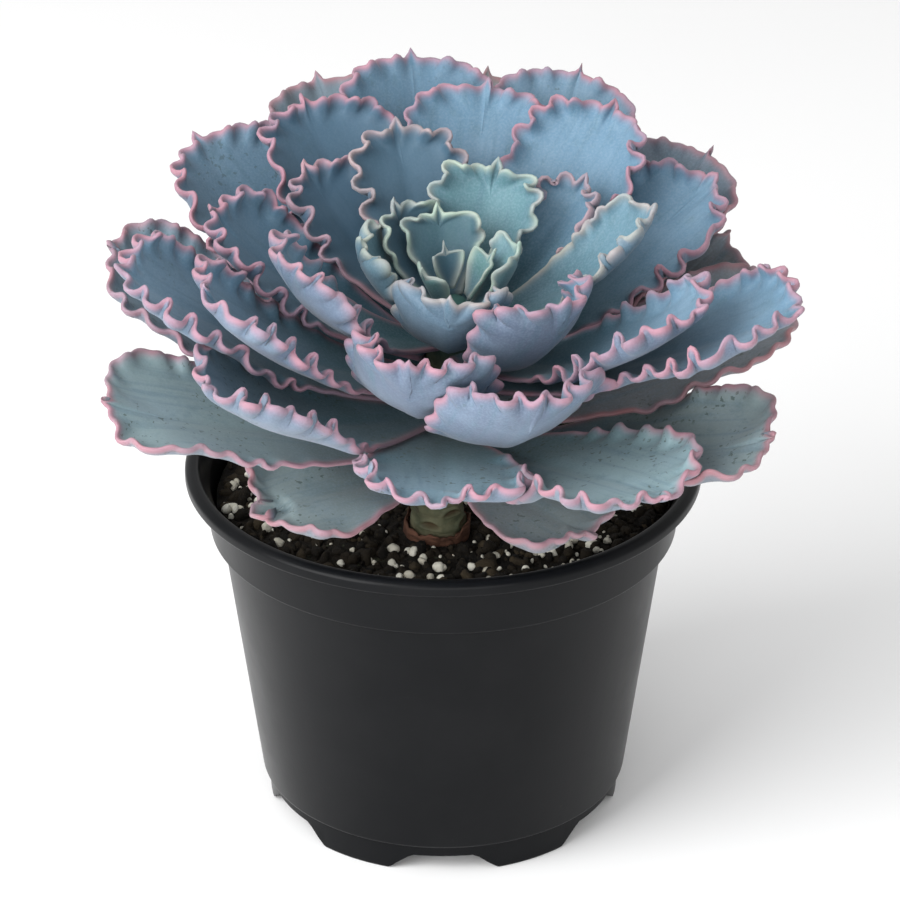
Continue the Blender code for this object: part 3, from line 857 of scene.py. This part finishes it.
def lumps(name, spots, seed, subdivisions, rough):
    """Many uneven lumps as one mesh. A spot is a place and three half sizes."""
    bm = bmesh.new()
    bmesh.ops.create_icosphere(bm, subdivisions=subdivisions, radius=1.0)
    bm.verts.index_update()
    ball = np.array([vert.co[:] for vert in bm.verts])
    corners = np.array([[vert.index for vert in face.verts] for face in bm.faces])
    bm.free()
    random = np.random.RandomState(seed)
    points = []
    faces = []
    tints = []
    for place, sizes in spots:
        w, x, y, z = unit(random.normal(size=4))
        matrix = np.array((
            (1 - 2 * (y * y + z * z), 2 * (x * y - z * w), 2 * (x * z + y * w)),
            (2 * (x * y + z * w), 1 - 2 * (x * x + z * z), 2 * (y * z - x * w)),
            (2 * (x * z - y * w), 2 * (y * z + x * w), 1 - 2 * (x * x + y * y)),
        ))
        shift = random.rand(3) * ABOUT_A_TURN
        bumps = 1.0 + rough * (
            np.sin(2.3 * ball[:, 0] + shift[0]) * np.sin(2.9 * ball[:, 1] + shift[1])
            + 0.6 * np.sin(4.7 * ball[:, 2] + shift[2]) * np.sin(4.1 * ball[:, 0] + shift[1])
        )
        lump = (ball * bumps[:, None] * np.array(sizes)) @ matrix.T + np.array(place)
        faces.append(corners + len(points) * len(ball))
        points.append(lump)
        tints.append(np.full(len(ball), random.rand()))
    mesh = mesh_from(name, np.concatenate(points), np.concatenate(faces).tolist())
    tint = np.concatenate(tints)
    set_colours(mesh, "lump_tint", np.stack([tint, tint, tint, np.ones_like(tint)], axis=1))
    return mesh


def strewn(count, seed, smallest, largest, flatten, sink, power=2.5):
    """Places and sizes of lumps over the soil, most of them small."""
    random = np.random.RandomState(seed)
    spots = []
    while len(spots) < count:
        radius = (SOIL_RADIUS - SOIL_MARGIN) * math.sqrt(random.rand())
        angle = 2.0 * math.pi * random.rand()
        size = smallest + (largest - smallest) * random.rand() ** power
        x = radius * math.cos(angle)
        y = radius * math.sin(angle)
        if math.hypot(x - STEM_FOOT.x, y - STEM_FOOT.y) < STEM_CLEARANCE + size:
            continue
        if radius + size > SOIL_RADIUS:
            continue
        height = soil_height(x, y) + size * sink
        stretch = 0.75 + 0.5 * random.rand(3)
        sizes = (size * stretch[0], size * stretch[1], size * flatten * stretch[2])
        spots.append(((x, y, height), sizes))
    return spots


def crumb_mesh():
    spots = strewn(
        CRUMB_COUNT, seed=11, smallest=0.5 * MM, largest=2.6 * MM, flatten=0.7, sink=0.1,
    )
    return lumps("soil_crumbs", spots, seed=12, subdivisions=2, rough=0.34)


def perlite_mesh():
    spots = strewn(
        PERLITE_COUNT, seed=21, smallest=0.45 * MM, largest=1.8 * MM, flatten=0.85, sink=0.35,
        power=1.7,
    )
    return lumps("perlite", spots, seed=22, subdivisions=3, rough=0.12)


def soil_material():
    n = Nodes("potting_soil")
    coarse = n.noise(170.0, 5.0, 0.7)
    fine = n.noise(900.0, 4.0, 0.7)
    colour = n.mix(n.spread(coarse, 0.35, 0.7), (0.004, 0.0033, 0.0027), (0.018, 0.014, 0.009))
    colour = n.mix(n.spread(fine, 0.55, 0.75, 0.0, 0.5), colour, (0.045, 0.036, 0.022))
    moss = n.spread(n.noise(260.0, 3.0, 0.6), 0.62, 0.7, 0.0, 0.6)
    colour = n.mix(moss, colour, (0.05, 0.055, 0.032))
    n.set(
        Base_Color=colour,
        Roughness=n.spread(fine, 0.3, 0.7, 0.8, 1.0),
        Normal=n.bump(n.math("ADD", coarse, fine), 0.8, 1.2 * MM),
        Specular_IOR_Level=0.2,
    )
    return n.material


def crumb_material():
    n = Nodes("soil_crumbs")
    tint = n.add("ShaderNodeAttribute", attribute_name="lump_tint").outputs["Fac"]
    fine = n.noise(1100.0, 4.0, 0.7)
    colour = n.mix(n.spread(tint, 0.0, 0.6), (0.0045, 0.0035, 0.0028), (0.016, 0.012, 0.0075))
    colour = n.mix(n.spread(tint, 0.80, 1.0), colour, (0.045, 0.034, 0.020))
    colour = n.mix(n.spread(fine, 0.5, 0.75, 0.0, 0.5), colour, (0.055, 0.046, 0.030))
    n.set(
        Base_Color=colour,
        Roughness=n.spread(fine, 0.3, 0.7, 0.75, 1.0),
        Normal=n.bump(fine, 0.7, 0.8 * MM),
        Specular_IOR_Level=0.2,
    )
    return n.material


def perlite_material():
    n = Nodes("perlite")
    tint = n.add("ShaderNodeAttribute", attribute_name="lump_tint").outputs["Fac"]
    fine = n.noise(1400.0, 4.0, 0.7)
    colour = n.mix(tint, (0.78, 0.76, 0.66), (0.52, 0.49, 0.40))
    colour = n.mix(n.spread(fine, 0.55, 0.8, 0.0, 0.6), colour, (0.16, 0.14, 0.10))
    n.set(
        Base_Color=colour,
        Roughness=n.spread(fine, 0.3, 0.7, 0.75, 0.95),
        Normal=n.bump(fine, 0.6, 0.5 * MM),
        Specular_IOR_Level=0.25,
    )
    return n.material


def build_soil():
    pieces = (
        (soil_mesh(), soil_material()),
        (crumb_mesh(), crumb_material()),
        (perlite_mesh(), perlite_material()),
    )
    for mesh, finish in pieces:
        mesh.shade_smooth()
        mesh.materials.append(finish)
        piece = new_object(mesh.name, mesh)
        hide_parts("soil")


# ---------------------------------------------------------------- stem

LEAF_SCARS = (          # azimuth about the stem (degrees) and height along it (mm)
    (252, 8.6), (303, 12.6), (200, 12.0), (340, 7.6), (110, 8.2), (60, 11.5), (155, 10.4),
    (15, 15.5), (228, 17.0), (275, 19.5), (320, 21.0), (180, 20.0), (90, 19.0), (135, 23.0),
)


def stem_mesh():
    segments = 96
    heights = np.concatenate([np.linspace(-22.0, 30.0, 150), np.linspace(31.0, STEM_TOP, 56)])
    angles = np.linspace(0.0, 2.0 * np.pi, segments, endpoint=False)
    level, turn = np.meshgrid(heights, angles, indexing="ij")
    radii = np.array([stem_radius(height) for height in heights])[:, None] / MM
    radii = np.broadcast_to(radii, level.shape).copy()
    radii *= 1.0 - 0.14 * np.exp(-((level - 13.0) / 6.0) ** 2)
    scar = np.zeros_like(radii)
    for azimuth, height in LEAF_SCARS:
        gap = (turn - math.radians(azimuth) + np.pi) % (2.0 * np.pi) - np.pi
        along = gap * 8.0
        droop = level - height + 0.07 * along ** 2
        ring = np.sqrt((along / 3.0) ** 2 + (droop / 1.15) ** 2)
        radii += 0.55 * np.exp(-((ring - 1.15) / 0.35) ** 2) - 0.7 * np.exp(-(ring / 0.8) ** 4)
        scar = np.maximum(scar, np.exp(-(ring / 0.95) ** 4))
    radii += 0.12 * np.sin(level * 2.1 + 0.8 * np.sin(turn * 2.0))
    radii += 0.1 * np.sin(turn * 7.0 + level * 0.5)
    radius = radii * MM
    points = np.stack([radius * np.cos(turn), radius * np.sin(turn), level * MM], axis=-1)
    points = points.reshape(-1, 3)
    grid = np.arange(len(points)).reshape(level.shape)
    grid = np.concatenate([grid, grid[:, :1]], axis=1)
    faces = quads(grid, True).tolist()
    faces.append([int(item) for item in grid[0, :-1]])
    faces.append([int(item) for item in grid[-1, :-1][::-1]])
    mesh = mesh_from("trunk", points, faces)
    tone = np.stack([scar.ravel(), level.ravel() / 100.0 + 0.3, scar.ravel(), scar.ravel()], axis=1)
    set_colours(mesh, "trunk_map", tone)
    weld(mesh)
    return mesh


def sheath_mesh():
    """Dry, papery remains of old leaves wrapped round the foot of the trunk."""
    random = np.random.RandomState(5)
    points = []
    faces = []
    for layer in range(SHEATH_LAYERS):
        middle = 2.0 * math.pi * layer * GOLDEN_SHARE
        half = math.radians(48.0 + 22.0 * random.rand())
        foot = -3.0 + 3.2 * (layer / SHEATH_LAYERS)
        tall = 5.6 + 3.2 * random.rand()
        flare = 1.7 - 1.2 * (layer / SHEATH_LAYERS)
        across = np.linspace(-1.0, 1.0, 33)
        up = np.linspace(0.0, 1.0, 9)
        side, rise = np.meshgrid(across, up, indexing="ij")
        ragged = 0.5 * np.sin(side * 9.0 + layer) + 0.35 * np.sin(side * 23.0 + 2.0 * layer)
        height = foot + rise * (tall * (1.0 - 0.65 * side ** 2) + 0.45 * ragged * rise)
        lean = flare * (1.0 - rise) + 0.35 * rise + 0.25 * np.sin(side * 12.0 + layer * 1.7) * rise
        sheets = []
        for depth in (0.0, -SHEATH_THICKNESS):
            radius = SHEATH_RADIUS + 0.05 * layer + lean + depth
            angle = middle + side * half
            sheet = np.stack([radius * np.cos(angle), radius * np.sin(angle), height], axis=-1)
            sheets.append(sheet * MM)
        first = sum(len(part) for part in points)
        outer = np.arange(side.size).reshape(side.shape) + first
        inner = outer + side.size
        points.extend(sheet.reshape(-1, 3) for sheet in sheets)
        faces.append(quads(outer))
        faces.append(quads(inner, True))
        for line, other in (
            (outer[:, 0], inner[:, 0]), (inner[:, -1], outer[:, -1]),
            (inner[0], outer[0]), (outer[-1], inner[-1]),
        ):
            faces.append(quads(np.stack([line, other], axis=1), True))
    mesh = mesh_from("dry_sheath", np.concatenate(points), np.concatenate(faces).tolist())
    weld(mesh)
    return mesh


def trunk_material():
    n = Nodes("trunk_bark")
    spot = n.add("ShaderNodeAttribute", attribute_name="trunk_map")
    parts = n.add("ShaderNodeSeparateColor")
    n.link(spot.outputs["Color"], parts.inputs[0])
    scar, level, _ = parts.outputs
    cloud = n.noise(160.0, 5.0, 0.65)
    rings = n.noise(260.0, 4.0, 0.6, (0.35, 0.35, 1.6))
    colour = n.mix(n.spread(cloud, 0.3, 0.7), (0.060, 0.070, 0.040), (0.13, 0.13, 0.075))
    colour = n.mix(n.spread(rings, 0.55, 0.72, 0.0, 0.5), colour, (0.055, 0.040, 0.024))
    colour = n.mix(n.spread(level, 0.37, 0.31), colour, (0.075, 0.038, 0.022))
    colour = n.mix(n.math("MULTIPLY", scar, 0.9), colour, (0.045, 0.026, 0.010))
    colour = n.mix(n.spread(level, 0.95, 1.08), colour, (0.060, 0.150, 0.135))
    n.set(
        Base_Color=colour,
        Roughness=n.spread(cloud, 0.3, 0.7, 0.6, 0.85),
        Normal=n.bump(n.math("ADD", cloud, rings), 0.5, 0.7 * MM),
        Specular_IOR_Level=0.3,
    )
    return n.material


def sheath_material():
    n = Nodes("dry_sheath")
    fibres = n.noise(300.0, 5.0, 0.7, (0.4, 0.4, 2.2))
    cloud = n.noise(120.0, 4.0, 0.6)
    colour = n.mix(n.spread(fibres, 0.35, 0.65), (0.045, 0.020, 0.012), (0.13, 0.062, 0.040))
    colour = n.mix(n.spread(cloud, 0.55, 0.75, 0.0, 0.6), colour, (0.030, 0.016, 0.010))
    n.set(
        Base_Color=colour,
        Roughness=n.spread(fibres, 0.3, 0.7, 0.7, 0.95),
        Normal=n.bump(fibres, 0.6, 0.5 * MM),
        Specular_IOR_Level=0.2,
    )
    return n.material


def build_stem(place):
    for mesh, finish in ((stem_mesh(), trunk_material()), (sheath_mesh(), sheath_material())):
        mesh.transform(place)
        mesh.materials.append(finish)
        piece = new_object(mesh.name, mesh)
        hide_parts("stem")


# ---------------------------------------------------------------- stage

def build_stage():
    floor_mesh = bpy.data.meshes.new("floor")
    bm = bmesh.new()
    bmesh.ops.create_grid(bm, x_segments=1, y_segments=1, size=6.0)
    bm.to_mesh(floor_mesh)
    bm.free()
    floor = bpy.data.objects.new("floor", floor_mesh)
    bpy.context.scene.collection.objects.link(floor)
    n = Nodes("floor_white")
    n.set(Base_Color=(0.95, 0.95, 0.95), Roughness=0.9)
    floor_mesh.materials.append(n.material)

    world = bpy.data.worlds.new("studio")
    bpy.context.scene.world = world
    world.use_nodes = True
    back = world.node_tree.nodes["Background"]
    back.inputs["Color"].default_value = (1.0, 1.0, 1.0, 1.0)
    back.inputs["Strength"].default_value = WORLD_STRENGTH

    def area(name, place, size, power):
        data = bpy.data.lights.new(name, "AREA")
        data.shape = "RECTANGLE"
        data.size, data.size_y = size
        data.energy = power
        lamp = bpy.data.objects.new(name, data)
        bpy.context.scene.collection.objects.link(lamp)
        lamp.location = place
        aim = Vector((0.0, 0.0, 0.12)) - Vector(place)
        lamp.rotation_euler = aim.to_track_quat("-Z", "Y").to_euler()

    area("softbox_top", (-0.2, -0.2, 1.3), (1.2, 1.2), 3.0)
    area("softbox_left", (-1.0, -0.8, 0.85), (1.2, 1.2), 29.0)
    area("fill_front", (0.1, -1.4, 0.5), (1.2, 0.8), 8.0)


def build_camera():
    data = bpy.data.cameras.new("camera")
    data.lens = CAMERA_LENS
    data.clip_start = 0.05
    camera = bpy.data.objects.new("camera", data)
    bpy.context.scene.collection.objects.link(camera)
    away = Vector((0.0, -math.cos(CAMERA_ELEVATION), math.sin(CAMERA_ELEVATION)))
    camera.location = CAMERA_TARGET + CAMERA_DISTANCE * away
    camera.rotation_euler = (0.5 * math.pi - CAMERA_ELEVATION, 0.0, 0.0)
    bpy.context.scene.camera = camera


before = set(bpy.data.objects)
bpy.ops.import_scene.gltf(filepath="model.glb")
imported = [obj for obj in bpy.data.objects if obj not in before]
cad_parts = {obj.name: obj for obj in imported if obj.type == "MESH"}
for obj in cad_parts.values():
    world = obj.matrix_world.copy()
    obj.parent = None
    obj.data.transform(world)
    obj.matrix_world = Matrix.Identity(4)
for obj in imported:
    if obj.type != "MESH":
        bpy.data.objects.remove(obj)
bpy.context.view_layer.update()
build_camera()
build_stage()
place = plant_matrix()
build_pot()
build_soil()
build_stem(place)
skin = leaf_material()
newer_leaves = []
for number in reversed(range(len(LEAVES))):
    build_leaf(number, LEAVES[number], skin, place, newer_leaves)
bpy.context.scene.view_settings.view_transform = "Standard"
